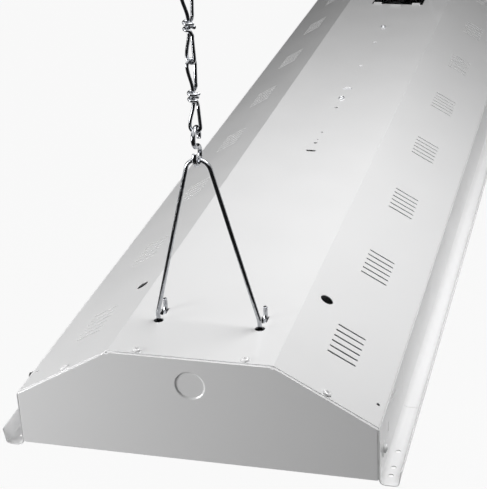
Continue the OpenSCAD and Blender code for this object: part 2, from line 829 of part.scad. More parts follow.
// Turns a point about Z by angle a
function turned(p, a) = [p[0] * cos(a) - p[1] * sin(a), p[0] * sin(a) + p[1] * cos(a), p[2]];

// Smooth step from 0 to 1
function eased(t) = t * t * (3 - 2 * t);

// Upper half of a link's wire, in the plane of its loop: free end, wrap, leg, end bend, leg and core
function link_half() =
    let (top_z = link_len / 2 - loop_r)
    let (leg_dx = loop_r - wrap_r)
    let (rest_z = wrap_low + wrap_rise)
    let (flare = [end_tail * end_flare_share, end_tail, 0])
    let (tail = turned([wrap_r, 0, wrap_low], wrap_turn) + turned(flare, wrap_turn))
    let (wrap = [for (k = [wrap_steps:-1:0])
        let (t = k / wrap_steps)
        let (z = t < wrap_fall_share
            ? wrap_top - (wrap_top - rest_z) * eased(t / wrap_fall_share)
            : rest_z - wrap_rise * (t - wrap_fall_share) / (1 - wrap_fall_share))
        turned([wrap_r, 0, z], wrap_turn * t * sqrt(t * (2 - t)))])
    let (up = [for (k = [1:leg_steps - 1]) let (t = k / leg_steps)
        [wrap_r + leg_dx * t, 0, wrap_top + (top_z - wrap_top) * t]])
    let (bend = [for (k = [0:link_steps]) let (a = 180 * k / link_steps)
        [loop_r * cos(a), 0, top_z + loop_r * sin(a)]])
    let (down = [for (k = [leg_steps - 1:-1:1]) let (t = k / leg_steps)
        [-loop_r * eased(t), 0, core_top + (top_z - core_top) * t]])
    concat([tail], wrap, up, bend, down, [[0, 0, core_top], [0, 0, core_top / 2]]);

// Whole wire path of a link: the half, the middle, and the half turned over about a level axis
function link_path() =
    let (half = link_half())
    let (n = len(half))
    concat(
        [for (p = half) turned(p, link_twist)],
        [[0, 0, 0]],
        [for (k = [n - 1:-1:0]) let (p = half[k]) [p[0], -p[1], -p[2]]]
    );

// Frames carried along a path without twisting: each is the last one's side vector made square again
function path_dir(p, i) = unit(p[min(i + 1, len(p) - 1)] - p[max(i - 1, 0)]);
function carried(p, i, side) =
    let (d = path_dir(p, i))
    let (s = unit(side - d * (side * d)))
    i == len(p) - 1 ? [s] : concat([s], carried(p, i + 1, s));

// Tube of radius r and n sides swept along path p
module swept_wire(p, r, n) {
    d0 = path_dir(p, 0);
    sides = carried(p, 0, unit(cross(d0, abs(d0[2]) < 0.9 ? [0, 0, 1] : [1, 0, 0])));
    rings = [for (i = [0:len(p) - 1])
        let (s = sides[i])
        let (q = cross(path_dir(p, i), s))
        for (k = [0:n - 1]) let (a = 360 * k / n) p[i] + r * (s * cos(a) + q * sin(a))];
    m = len(p);
    walls = [for (i = [0:m - 2], k = [0:n - 1]) each [
        [i * n + k, (i + 1) * n + k, (i + 1) * n + (k + 1) % n],
        [i * n + k, (i + 1) * n + (k + 1) % n, i * n + (k + 1) % n]
    ]];
    caps = [
        [for (k = [0:n - 1]) k],
        [for (k = [n - 1:-1:0]) (m - 1) * n + k]
    ];
    polyhedron(points = rings, faces = concat(caps, walls));
}

// Least gap of a link's wire to itself, leaving out near neighbours along it
function self_gap(p, r, skip) =
    min([for (i = [0:len(p) - 1]) for (j = [i + skip:1:len(p) - 1]) norm(p[i] - p[j])]) - 2 * r;

// Chain link about its middle, with its lower loop in the XZ plane
module chain_link() {
    path = link_path();
    echo(link_self_gap = self_gap(path, chain_r, 6));
    color(zinc) swept_wire(path, chain_r, link_sides);
}

// Places a piece of the near chain: at its height and turned about the chain's line
module near_chain(z, turn) {
    translate([0, -chain_y, z]) rotate([0, 0, turn]) children();
}

// Raises pieces so that the light's gutters stand on zero
module stood() {
    translate([0, 0, body_h + gutter_drop]) children();
}

stood() housing();
stood() end_plate();  // near_end_plate
stood() mirror([0, 1, 0]) end_plate();  // far_end_plate
stood() mirror([1, 0, 0]) rail();  // left_rail
stood() rail();  // right_rail
stood() left_rail_end();  // near_left_rail_end
stood() rail_end();  // near_right_rail_end
stood() rotate([0, 0, 180]) rail_end();  // far_left_rail_end
stood() mirror([0, 1, 0]) rail_end();  // far_right_rail_end
stood() end_screws();
stood() rail_screws();
stood() hole_plug();
stood() socket_bar();  // near_socket_bar
stood() mirror([0, 1, 0]) socket_bar();  // far_socket_bar
for (n = [1:lamp_count]) {
    stood() holder(n);
    stood() mirror([0, 1, 0]) holder(n);
    stood() lamp_tube(n);
    stood() lamp_caps(n);
    stood() lamp_pins(n);
    stood() lamp_rotors(n);
}
stood() reflector();
stood() reflector_screws();
stood() ballast();
stood() ballast_screws();
stood() leads(ballast_y);  // near_leads
stood() mirror([0, 1, 0]) leads(-ballast_y);  // far_leads
stood() hanger();  // near_hanger
stood() mirror([0, 1, 0]) hanger();  // far_hanger
stood() near_chain(lower_hook_z, 0) s_hook(hook_closed, hook_closed);  // near_lower_hook
stood() rotate([0, 0, 180]) near_chain(lower_hook_z, 0) s_hook(hook_closed, hook_closed);  // far_lower_hook
stood() near_chain(link_1_z, 0) chain_link();  // near_link_1
stood() near_chain(link_2_z, link_turn) chain_link();  // near_link_2
stood() rotate([0, 0, 180]) near_chain(link_1_z, 0) chain_link();  // far_link_1
stood() rotate([0, 0, 180]) near_chain(link_2_z, link_turn) chain_link();  // far_link_2
stood() near_chain(upper_hook_z, link_turn + link_twist) s_hook(hook_open, hook_closed);  // near_upper_hook
stood() rotate([0, 0, 180]) near_chain(upper_hook_z, link_turn + link_twist) s_hook(hook_open, hook_closed);  // far_upper_hook
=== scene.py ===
"""The looks of a hanging shop light: white enamelled sheet, bright wire hangers and chain, tubes below."""
import json
import math

import bmesh
import bpy
import numpy as np
from mathutils import Matrix, Vector

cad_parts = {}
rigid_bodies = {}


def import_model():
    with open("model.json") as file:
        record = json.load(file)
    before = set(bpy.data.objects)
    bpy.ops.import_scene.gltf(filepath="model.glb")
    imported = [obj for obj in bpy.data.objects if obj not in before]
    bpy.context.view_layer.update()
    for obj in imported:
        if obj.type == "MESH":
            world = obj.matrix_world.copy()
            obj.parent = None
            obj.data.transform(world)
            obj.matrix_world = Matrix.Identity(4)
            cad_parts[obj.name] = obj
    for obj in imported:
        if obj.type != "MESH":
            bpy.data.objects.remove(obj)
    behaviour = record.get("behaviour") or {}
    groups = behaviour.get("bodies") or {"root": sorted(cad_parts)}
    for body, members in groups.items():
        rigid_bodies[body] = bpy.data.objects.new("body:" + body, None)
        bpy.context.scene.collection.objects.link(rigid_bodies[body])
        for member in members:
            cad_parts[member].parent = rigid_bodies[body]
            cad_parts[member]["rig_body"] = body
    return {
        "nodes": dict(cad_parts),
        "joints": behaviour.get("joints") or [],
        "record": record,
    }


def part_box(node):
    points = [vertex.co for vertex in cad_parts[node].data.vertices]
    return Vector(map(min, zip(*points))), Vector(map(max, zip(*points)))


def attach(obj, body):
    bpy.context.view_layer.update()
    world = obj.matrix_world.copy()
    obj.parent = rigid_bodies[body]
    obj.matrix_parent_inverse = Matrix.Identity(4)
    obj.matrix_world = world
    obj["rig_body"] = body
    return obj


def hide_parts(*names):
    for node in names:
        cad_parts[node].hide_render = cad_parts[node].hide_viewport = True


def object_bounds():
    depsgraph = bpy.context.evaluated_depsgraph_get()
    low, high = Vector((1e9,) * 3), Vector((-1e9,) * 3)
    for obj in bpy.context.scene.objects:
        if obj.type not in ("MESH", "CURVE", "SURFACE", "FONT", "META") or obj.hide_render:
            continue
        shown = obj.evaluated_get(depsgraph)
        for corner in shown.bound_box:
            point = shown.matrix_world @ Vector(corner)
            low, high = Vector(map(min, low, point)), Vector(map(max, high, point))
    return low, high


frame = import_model()
cad_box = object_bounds()
nodes = frame["nodes"]

# Camera of the photograph: its place, the way it looks, a slight roll, and its long lens
camera_place = Vector((0.2654, -1.3714, 0.5448))
camera_look = Vector((-0.2543, 0.8664, -0.4296))
camera_roll = math.radians(-3.14)
camera_lens = 105.27
camera_near = 0.01
camera_far = 50

# Hangers: a wire that goes down through the outer holes and up again through the inner ones, in metres
hanger_wire_r = 0.0015
hanger_hole_x = 0.0358
hanger_u_r = 0.00805
hanger_lean = math.radians(14.3)
shank_bend_r = 0.015
apex_r = 0.0085
tail_h = 0.0085

# S-hooks: their two circles, how far each is closed past its half turn, and the play over the chain
hook_wire_r = 0.0016
hook_r = 0.00625
hook_closed = math.radians(120)
hook_open = math.radians(75)
hook_play = 0.00005

# Chain links: two loops, one turned against the other, and the wraps of the free ends round their necks
chain_r = 0.00115
link_len = 0.0482
loop_r = 0.0035
link_twist = math.radians(60)
link_turn = link_twist - math.pi / 2
wrap_gap = 0.00045
wrap_r = 2 * chain_r + wrap_gap
wrap_top = 0.0056
wrap_low = 0.00145
wrap_rise = 0.001
wrap_turn = math.radians(285)
wrap_fall_share = 0.25
core_top = 0.0036
end_tail = 0.0022

# How finely wires are drawn: sides, points along each bend, the step between the points of a link, and how
# steep a wire's start has to be for its first circle to be laid out from X instead of Z
wire_sides = 20
u_points = 33
lean_points = 7
apex_points = 13
hook_points = 49
wrap_points = 49
leg_points = 7
loop_points = 25
link_step = 0.0004
nearly_upright = 0.9

# A wire's cut end, in shares of its radius: where its circles stand, how far the rounding reaches, and how
# thick the last circle is
cut_places = np.array([0, 0.08, 0.2, 0.35])
cut_share = 0.35
cut_end_r = 0.72

# Where the joints are: a hanger's in the panel's holes, the others where two wires cross
swing_at = {j["name"]: Vector(j["pos_m"]) for j in frame["joints"] if "pos_m" in j}
pivot = swing_at["near_hanger_swing"]
apex = swing_at["near_lower_hook_swing"]
hook_top = swing_at["near_link_1_swing"]
link_1_top = swing_at["near_link_2_swing"]
link_2_top = swing_at["near_upper_hook_swing"]
panel_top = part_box("near_end_plate")[1].z

# Rounding of a solid's edges: points closer than merge_dist are one, faces within flat_angle of each other
# are one face, and an edge that turns by more than sharp_angle is rounded, in so many segments. The last
# value is how much a face's size counts for the way its corners face
merge_dist = 0.000002
flat_angle = math.radians(0.6)
sharp_angle = math.radians(25)
sheet_edge = 0.0002
slot_edge = 0.00008
moulded_edge = 0.0005
least_edge = 0.00005
edge_segments = 2
bend_segments = 4
flat_weight = 80

# End plates: the bend along their outline, the seam behind it, the corner notches and the knockout
half_len = cad_box[1].y
sheet_t = 0.0008
bend_width = 0.0007
bend_depth = 0.0018
seam_width = 0.00015
seam_gap = 0.0011
housing_inset = 0.0011
notch_r = 0.0013
notch_margin = 0.0003
half_top = 0.0565
knockout_at = (0, panel_top - 0.0195)
knockout_r = 0.0106
knockout_margin = 0.0005
knockout_top_r = 0.0105
knockout_low_r = 0.0093
knockout_inset = 0.00045
knockout_sink = 0.0004

# How close two places have to be to count as the same one, in metres and in decimals
near_enough = 0.0001
same_digits = 5

# Side rails: their sheet, the cove of the solid and the tighter one of the real sheet, the lip with the
# stretch of it that keeps its length, the lip's cut and how near the end of the light a cut rail comes, and
# the row of holes, each with a stretch of sheet about it that keeps its width
rail_t = 0.0007
solid_cove_r = 0.007
cove_r = 0.0032
lip_lean = 0.0018
lip_top = 0.012
lip_bend_r = 0.002
lip_kept = 0.0296
lip_cut_len = 0.0094
end_reach = 0.001
hole_out = 0.0086
hole_shift = 0.00245
hole_clear = 0.0019

# A rail's points are the wall's from so far above the cove, and so near the wall's face
wall_start = 0.0004
wall_reach = 0.002

# A rail's section as it is drawn for measuring: its reach up the wall and along the lip, and its points
section_top = 0.05
section_lip = 0.03
wall_points = 900
cove_points = 300
gutter_points = 300
lip_bend_points = 120
lip_points = 600

# Screws: the slope that some stand on, then head, recess, thread and tip, and how they are turned
shoulder_slope = math.radians(30)
wide_share = 0.8
slimmer_by = 0.00001
screw_sides = 40
screw_head_r = 0.0029
screw_head_h = 0.0017
dome_share = 0.5
dome_parts = ((0.04, 0.5), (0.56, 1))
dome_rings = 9
rim_share = 0.8
rim_in = 0.0001
rim_lift = 0.00002
neck_lift = 0.00001
screw_shank_r = 0.0017
recess_reach = 0.0014
recess_half_w = 0.00032
recess_edge_share = 1.6
recess_wall_share = 0.8
recess_depth = 0.0008
recess_pit_r = 0.0011
recess_pit_depth = 0.0032
pit_wall_share = 0.25
thread_pitch = 0.0011
thread_depth = 0.0003
thread_start = 0.0002
thread_rings = 44
point_len = 0.0008
tip_len = 0.0003
tip_root_r = 0.0011
tip_r = 0.0003
screw_askew = (0.3, 1, 0.2)
screw_turn = 1.7

# Studio: sky, floor and the share of plain white that the camera sees on it, soft lights and dark cards
sky_strength = 0.12
floor_half = 12
floor_z = -0.72
floor_grey = 0.85
floor_white_share = 0.9
floor_white = 1.03
dull_roughness = 0.9
lamps = {
    "key": {"place": (0.25, -0.35, 0.7), "target": (0, -0.3, 0.06), "size": 0.45, "watts": 4.6},
    "fill": {"place": (-0.7, -1, 0.2), "target": (-0.05, -0.6, 0.05), "size": 0.35, "watts": 5.4},
    "right": {"place": (0.9, -0.4, 0.5), "target": (0.05, -0.3, 0.06), "size": 0.4, "watts": 0.3},
    "left": {"place": (-0.7, -0.4, 0.7), "target": (-0.05, -0.3, 0.06), "size": 0.4, "watts": 1},
}
card_grey = 0.03
card_middle_y = -0.5
card_points = 49
cards = {
    "front_card": {"first": -190, "last": 20, "profile": ((0.2, -0.7), (1.5, -0.7), (1.5, 0.9))},
    "back_card": {"first": 50, "last": 150, "profile": ((2.5, -0.35), (2.5, 2))},
}


def linked(name, data):
    """A new object that shows the data, in the scene."""
    thing = bpy.data.objects.new(name, data)
    bpy.context.scene.collection.objects.link(thing)
    return thing


def mesh_from_rings(name, rings):
    """A closed skin over rings of points, shaped (rings, points, 3): point j of ring i joins point j + 1
    and ring i + 1 in one quad, and the first and last rings are closed by a flat face each."""
    m, n = rings.shape[:2]
    i, j = np.meshgrid(np.arange(m - 1), np.arange(n), indexing="ij")
    ahead = (j + 1) % n
    quads = np.stack([i * n + j, i * n + ahead, (i + 1) * n + ahead, (i + 1) * n + j], -1)
    ends = [list(range(n))[::-1], list(range((m - 1) * n, m * n))]
    mesh = bpy.data.meshes.new(name)
    mesh.from_pydata(rings.reshape(-1, 3).tolist(), [], quads.reshape(-1, 4).tolist() + ends)
    mesh.update()
    face_outwards(mesh)
    for p in mesh.polygons:
        p.use_smooth = len(p.vertices) == 4
    return linked(name, mesh)


def face_outwards(mesh):
    """Recalculates the normals of a closed skin so that they point out of it."""
    bm = bmesh.new()
    bm.from_mesh(mesh)
    bmesh.ops.recalc_face_normals(bm, faces=bm.faces)
    bm.to_mesh(mesh)
    bm.free()


def unit(vector):
    """The vector at length one."""
    return vector / np.linalg.norm(vector)


def length_along(path):
    """How far each point of a path is from its start, as the sum of the steps up to it."""
    return np.concatenate([[0], np.cumsum(np.linalg.norm(np.diff(path, axis=0), axis=1))])


def arc(radius, start, stop, count):
    """Points of an arc about zero as (cos, sin) times the radius, from one angle to another."""
    a = np.linspace(start, stop, count)
    return radius * np.stack([np.cos(a), np.sin(a)], -1)


def swept_wire(name, path, radius):
    """A round wire along a path of points: at each point a circle stands square to the path, its side
    vector carried on from the last one without twist, and the last circles shrink by a quarter ellipse to a
    cut end."""
    path = np.asarray(path, float)
    ahead = np.gradient(path, axis=0)
    ahead /= np.linalg.norm(ahead, axis=1)[:, None]
    side = np.cross(ahead[0], (0, 0, 1) if abs(ahead[0][2]) < nearly_upright else (1, 0, 0))
    sides_along = []
    for direction in ahead:
        side = unit(side - direction * (side @ direction))
        sides_along.append(side)
    across = np.array(sides_along)
    up = np.cross(ahead, across)
    run = length_along(path)
    from_end = np.minimum(np.minimum(run, run[-1] - run) / (cut_share * radius), 1)
    thick = radius * (cut_end_r + (1 - cut_end_r) * np.sqrt(1 - (1 - from_end) ** 2))
    a = np.linspace(0, 2 * np.pi, wire_sides, endpoint=False)
    circles = across[:, None] * np.cos(a)[None, :, None] + up[:, None] * np.sin(a)[None, :, None]
    return mesh_from_rings(name, path[:, None] + thick[:, None, None] * circles)


def with_cut_ends(path, radius):
    """A path whose end points each give way to a few points close together, where the wire's cut edge
    turns."""
    path = np.asarray(path, float)
    steps = radius * cut_places[:, None]
    first = path[0] + unit(path[1] - path[0]) * steps
    last = path[-1] + unit(path[-2] - path[-1]) * steps[::-1]
    return np.concatenate([first, path[1:-1], last])


def resampled(path, step):
    """The path with points an even step apart, on the cubic that has the path's slope at its points."""
    path = np.asarray(path, float)
    run = length_along(path)
    slope = np.gradient(path, run, axis=0)
    want = np.linspace(0, run[-1], int(run[-1] / step) + 1)
    k = np.clip(np.searchsorted(run, want, side="right") - 1, 0, len(run) - 2)
    h = (run[k + 1] - run[k])[:, None]
    t = ((want - run[k]) / h[:, 0])[:, None]
    first = (2 * t ** 3 - 3 * t ** 2 + 1) * path[k] + (t ** 3 - 2 * t ** 2 + t) * h * slope[k]
    second = (3 * t ** 2 - 2 * t ** 3) * path[k + 1] + (t ** 3 - t ** 2) * h * slope[k + 1]
    return first + second


def hanger_path():
    """Half a hanger as a tail, a half turn through the two holes, the bend that leans the leg, and half of
    the apex bend, then the same mirrored. Y is counted from the near hanger's pivot."""
    tail = [[hanger_hole_x, hanger_u_r, panel_top + tail_h]]
    u = arc(hanger_u_r, 0, -np.pi, u_points)
    turn = np.stack([np.full(u_points, hanger_hole_x), u[:, 0], pivot.z + u[:, 1]], -1)
    lean = arc(shank_bend_r, 0, hanger_lean, lean_points)[1:]
    bend_x = hanger_hole_x - shank_bend_r + lean[:, 0]
    bend = np.stack([bend_x, np.full(len(lean), -hanger_u_r), pivot.z + lean[:, 1]], -1)
    top = arc(apex_r, hanger_lean, np.pi / 2, apex_points)
    crown = np.stack([top[:, 0], np.full(apex_points, -hanger_u_r), apex.z - apex_r + top[:, 1]], -1)
    half = np.concatenate([tail, turn, bend, crown])
    return np.concatenate([half, (half * (-1, 1, 1))[-2::-1]])


def hook_path(top_wrap, bottom_wrap):
    """Two circles of wire one over the other in the YZ plane, each run past its half turn by its wrap."""
    top = arc(hook_r, np.pi / 2 - top_wrap, 1.5 * np.pi, hook_points)
    low = arc(hook_r, 2.5 * np.pi, 1.5 * np.pi - bottom_wrap, hook_points)[1:]
    flat = np.concatenate([top + (0, hook_r), low - (0, hook_r)])
    return np.stack([np.zeros(len(flat)), flat[:, 0], flat[:, 1]], -1)


def turned(points, angle):
    """Points turned about the upright axis."""
    c, s = math.cos(angle), math.sin(angle)
    return np.asarray(points) @ np.array([[c, s, 0], [-s, c, 0], [0, 0, 1]])


def eased(t):
    """A smooth step from 0 to 1: three times the square less twice the cube."""
    return t * t * (3 - 2 * t)


def link_path():
    """Half a link is a free end, a wrap that winds down round the core, a leg, a half turn, and a leg that
    comes back into the core. The wrap is a circle about the core: from the leg on, its height falls by a
    smooth step and then evenly to the free end, and its angle is the whole turn times t and the root of
    t (2 - t). The other half is the same one turned over about a level axis."""
    top_z = link_len / 2 - loop_r
    rest_z = wrap_low + wrap_rise
    t = np.linspace(1, 0, wrap_points)
    fall = wrap_top - (wrap_top - rest_z) * eased(np.minimum(t / wrap_fall_share, 1))
    rest = rest_z - wrap_rise * (t - wrap_fall_share) / (1 - wrap_fall_share)
    angle = wrap_turn * t * np.sqrt(t * (2 - t))
    height = np.where(t < wrap_fall_share, fall, rest)
    wrap = np.stack([wrap_r * np.cos(angle), wrap_r * np.sin(angle), height], -1)
    tail = turned([[wrap_r + end_tail / 4, end_tail, wrap_low]], wrap_turn)
    t = np.linspace(0, 1, leg_points)[1:-1]
    up = np.stack([wrap_r + (loop_r - wrap_r) * t, 0 * t, wrap_top + (top_z - wrap_top) * t], -1)
    ring = arc(loop_r, 0, np.pi, loop_points)
    bend = np.stack([ring[:, 0], 0 * ring[:, 0], top_z + ring[:, 1]], -1)
    t = t[::-1]
    down = np.stack([-loop_r * eased(t), 0 * t, core_top + (top_z - core_top) * t], -1)
    core = np.array([[0, 0, core_top], [0, 0, core_top / 2]])
    half = np.concatenate([tail, wrap, up, bend, down, core])
    return np.concatenate([turned(half, link_twist), [[0, 0, 0]], (half * (1, -1, -1))[::-1]])


def hang_wires():
    """The hangers, S-hooks and links of both ends. The far chain is the near one turned by half a turn."""
    link = with_cut_ends(resampled(link_path(), link_step), chain_r)
    closed = with_cut_ends(hook_path(hook_closed, hook_closed), hook_wire_r)
    opened = with_cut_ends(hook_path(hook_open, hook_closed), hook_wire_r)
    hanger = with_cut_ends(hanger_path(), hanger_wire_r) + (0, pivot.y, 0)
    lower_hook_z = hook_top.z - 2 * hook_r
    upper_hook_z = link_2_top.z - chain_r - hook_wire_r - hook_play + 2 * hook_r
    stack = [
        ("lower_hook", closed, 0, lower_hook_z, hook_wire_r),
        ("link_1", link, 0, link_1_top.z - link_len / 2, chain_r),
        ("link_2", link, link_turn, link_2_top.z - link_len / 2, chain_r),
        ("upper_hook", opened, link_turn + link_twist, upper_hook_z, hook_wire_r),
    ]
    for end, half_turn in (("near", 0), ("far", math.pi)):
        path = hanger if end == "near" else hanger * (1, -1, 1)
        dress_wire(f"{end}_hanger", path, hanger_wire_r)
        for kind, local, turn, z, radius in stack:
            placed = turned(local, turn) + (0, hook_top.y, z)
            dress_wire(f"{end}_{kind}", turned(placed, half_turn), radius)


def dress_wire(node, path, radius):
    """A smooth wire in the place of a CAD node's."""
    piece = swept_wire(f"{node}_wire", path, radius)
    piece.data.materials.append(zinc)
    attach(piece, f"{node}_body")
    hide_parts(node)


def dressed(node, material, edge, slot_name, reshape=None, edge_width=None):
    """A CAD node's solid with its edges rounded: its triangles are joined into whole faces, and every sharp
    edge gets a narrow rounded bevel, as wide as edge_width says where it says. The wide faces keep their
    own normals, so that they shade flat beside the small bends."""
    source = nodes[node]
    mesh = source.data.copy()
    bm = bmesh.new()
    bm.from_mesh(mesh)
    bmesh.ops.remove_doubles(bm, verts=bm.verts, dist=merge_dist)
    bmesh.ops.dissolve_limit(bm, angle_limit=flat_angle, verts=bm.verts, edges=bm.edges)
    if reshape:
        reshape(bm)
        bm.normal_update()
    weights = bm.edges.layers.float.new("bevel_weight_edge")
    for f in bm.faces:
        f.smooth = True
    widest = max(edge, bend_width if edge_width else 0)
    for e in bm.edges:
        sharp = len(e.link_faces) == 2 and e.calc_face_angle(0) > sharp_angle
        e.smooth = not sharp
        if sharp:
            width = edge_width(e) if edge_width else None
            e[weights] = (edge if width is None else width) / widest
    bm.to_mesh(mesh)
    bm.free()
    mesh.materials.clear()
    mesh.materials.append(material)
    piece = linked(f"{node}_dressed", mesh)
    bevel = piece.modifiers.new("rounded_edges", "BEVEL")
    bevel.width = widest
    bevel.segments = bend_segments if edge_width == plate_edge_width else edge_segments
    bevel.limit_method = "WEIGHT"
    bevel.use_clamp_overlap = False
    bevel.loop_slide = not node.endswith("rail_end")
    flat = piece.modifiers.new("flat_faces", "WEIGHTED_NORMAL")
    flat.keep_sharp = True
    flat.weight = flat_weight
    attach(piece, source["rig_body"])
    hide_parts(node)
    return piece


def from_knockout(place):
    """How far a point of an end plate is from the knockout's axis."""
    return math.hypot(place.x - knockout_at[0], place.z - knockout_at[1])


def inset_of(v):
    """How far a point is from the end of the light, along it."""
    return half_len - abs(v.co.y)


def outline_key(v):
    """A point's place across the light, rounded so that the front and back of a sheet's edge share it."""
    return round(v.co.x, same_digits), round(v.co.z, same_digits)


def reshape_end_plate(bm):
    """The plate's outline drawn back over the housing's end, as deep as the real bend, the half-punched
    disc pressed in a little further, and the wall round the disc sloped."""
    outline = {outline_key(v) for v in bm.verts
               if inset_of(v) < sheet_t / 4 and from_knockout(v.co) > knockout_r + knockout_margin}
    for v in bm.verts:
        inset = inset_of(v)
        out = from_knockout(v.co)
        if out < knockout_r + near_enough:
            in_front = inset < sheet_t / 4
            disc_front = abs(inset - knockout_inset) < near_enough
            if disc_front or abs(inset - knockout_inset - sheet_t) < near_enough:
                v.co.y -= math.copysign(knockout_sink, v.co.y)
            if (in_front or disc_front) and out > knockout_r - near_enough:
                share = (knockout_top_r if in_front else knockout_low_r) / out
                v.co.x = knockout_at[0] + (v.co.x - knockout_at[0]) * share
                v.co.z = knockout_at[1] + (v.co.z - knockout_at[1]) * share
        elif outline_key(v) in outline and inset > sheet_t / 2:
            v.co.y = math.copysign(half_len - bend_depth, v.co.y)


def draw_back_ends(bm):
    """The cut ends of the housing's top and shoulders drawn back behind the end plates' bends."""
    for v in bm.verts:
        if abs(inset_of(v) - housing_inset) < near_enough:
            v.co.y = math.copysign(half_len - bend_depth - seam_gap, v.co.y)


def plate_edge_width(e):
    """A broad rounding along the outline of an end plate's face, a smaller one behind it, where the
    housing's edge makes a seam with it, a soft one on the knockout, and none in the corner notches."""
    middle = (e.verts[0].co + e.verts[1].co) / 2
    if from_knockout(middle) < knockout_r + knockout_margin:
        return sheet_edge
    if math.hypot(abs(middle.x) - half_top, middle.z - panel_top) < notch_r + notch_margin:
        return 0
    inset = [inset_of(v) for v in e.verts]
    if max(inset) < sheet_t / 4:
        return bend_width
    if min(inset) > sheet_t and max(inset) < bend_depth + near_enough:
        return seam_width
    return None


def housing_edge_width(e):
    """A small rounding on the housing's cut ends, which makes the seam with the end plates."""
    inset = sum(inset_of(v) for v in e.verts) / 2
    return seam_width if abs(inset - bend_depth - seam_gap) < near_enough else None


def corner_edge_width(e):
    """No rounding on the edges of a rail end's underside, the usual one on its other edges."""
    return 0 if max(v.co.z for v in e.verts) < near_enough else None


def rail_path(cove, gutter_z, wall_x, lip_x):
    """Points of a rail's visible face across the light, close together: down the wall, round the cove,
    along the gutter, round the lip's bend and up the lip. With them come how far each is along the face,
    and the normals that point out of the sheet, which are the path's direction turned by a quarter."""
    cove_z = gutter_z + cove
    cove_x = wall_x + cove
    lip_foot = np.array([lip_x - lip_lean, gutter_z])
    rise = unit(np.array([lip_x, lip_top]) - lip_foot)
    turn = math.acos(rise[0])
    back = lip_bend_r * math.tan(turn / 2)
    bend_x = lip_foot[0] - back
    wall = np.linspace((wall_x, section_top), (wall_x, cove_z), wall_points)
    round_in = arc(cove, math.pi, 1.5 * math.pi, cove_points) + (cove_x, cove_z)
    gutter = np.linspace((cove_x, gutter_z), (bend_x, gutter_z), gutter_points)
    lip_bend = arc(lip_bend_r, -math.pi / 2, turn - math.pi / 2, lip_bend_points)
    bend = lip_bend + (bend_x, gutter_z + lip_bend_r)
    lip = np.linspace(lip_foot + rise * back, lip_foot + rise * section_lip, lip_points)
    points = np.concatenate([wall[:-1], round_in[:-1], gutter[:-1], bend[:-1], lip])
    run = length_along(points)
    ahead = np.gradient(points, run, axis=0)
    return points, run, np.stack([-ahead[:, 1], ahead[:, 0]], -1)


def run_at_hole(points, run, hole_x, cove_start):
    """How far along a rail's face, past its wall, a hole at this place across the light is."""
    past_wall = run > cove_start
    return np.interp(hole_x, points[:, 0][past_wall], run[past_wall])


def reshape_rail(bm):
    """A rail's solid redrawn on a section with a tighter cove: every corner keeps its depth in the sheet
    and moves along the section, so that holes stay round and land nearer the wall, and the lip runs to the
    end."""
    verts = list(bm.verts)
    place = np.array([v.co[:] for v in verts])
    side = np.sign(place[:, 0])
    low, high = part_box("right_rail")
    gutter_z, wall_x, lip_x = low.z + rail_t, low.x + rail_t, high.x - rail_t
    old, old_run, old_out = rail_path(solid_cove_r, gutter_z, wall_x, lip_x)
    new, new_run, new_out = rail_path(cove_r, gutter_z, wall_x, lip_x)
    flat = np.stack([np.abs(place[:, 0]), place[:, 2]], -1)
    near = np.array([np.argmin(((old - q) ** 2).sum(1)) for q in flat])
    depth = ((flat - old[near]) * old_out[near]).sum(1)
    cove_start = section_top - gutter_z - solid_cove_r
    at_hole = run_at_hole(old, old_run, low.x + hole_out, cove_start)
    to_hole = run_at_hole(new, new_run, low.x + hole_out - hole_shift, cove_start)
    was, becomes = [
        [0, cove_start, hole - hole_clear, hole + hole_clear, whole - lip_kept, whole]
        for hole, whole in ((at_hole, old_run[-1]), (to_hole, new_run[-1]))]
    moved = np.interp(old_run[near], was, becomes)
    base = np.stack([np.interp(moved, new_run, new[:, k]) for k in (0, 1)], -1)
    out = np.stack([np.interp(moved, new_run, new_out[:, k]) for k in (0, 1)], -1)
    out /= np.linalg.norm(out, axis=1)[:, None]
    above_cove = flat[:, 1] > gutter_z + solid_cove_r + wall_start
    on_wall = above_cove & (flat[:, 0] < wall_x + wall_reach)
    redrawn = np.where(on_wall[:, None], flat, base + out * depth[:, None])
    end = np.abs(place[:, 1]).max()
    on_lip = flat[:, 0] > lip_x - 2 * lip_lean - 2 * rail_t
    in_cut = on_lip & (end - np.abs(place[:, 1]) < lip_cut_len) & (end > half_len - end_reach)
    along = np.where(in_cut, np.sign(place[:, 1]) * end, place[:, 1])
    for v, (x, z), y, sign in zip(verts, redrawn, along, side):
        v.co = (sign * x, y, max(z, low.z))


def separate_screws(node):
    """The points of each screw of a group, one array a screw, found by walking along the edges."""
    bm = bmesh.new()
    bm.from_mesh(nodes[node].data)
    bmesh.ops.remove_doubles(bm, verts=bm.verts, dist=merge_dist)
    left = set(bm.verts)
    screws = []
    for first in bm.verts:
        if first in left:
            left.remove(first)
            screw, ahead = [], [first]
            while ahead:
                v = ahead.pop()
                screw.append(v.co[:])
                near = {e.other_vert(v) for e in v.link_edges} & left
                left -= near
                ahead += near
            screws.append(np.array(screw))
    bm.free()
    return screws


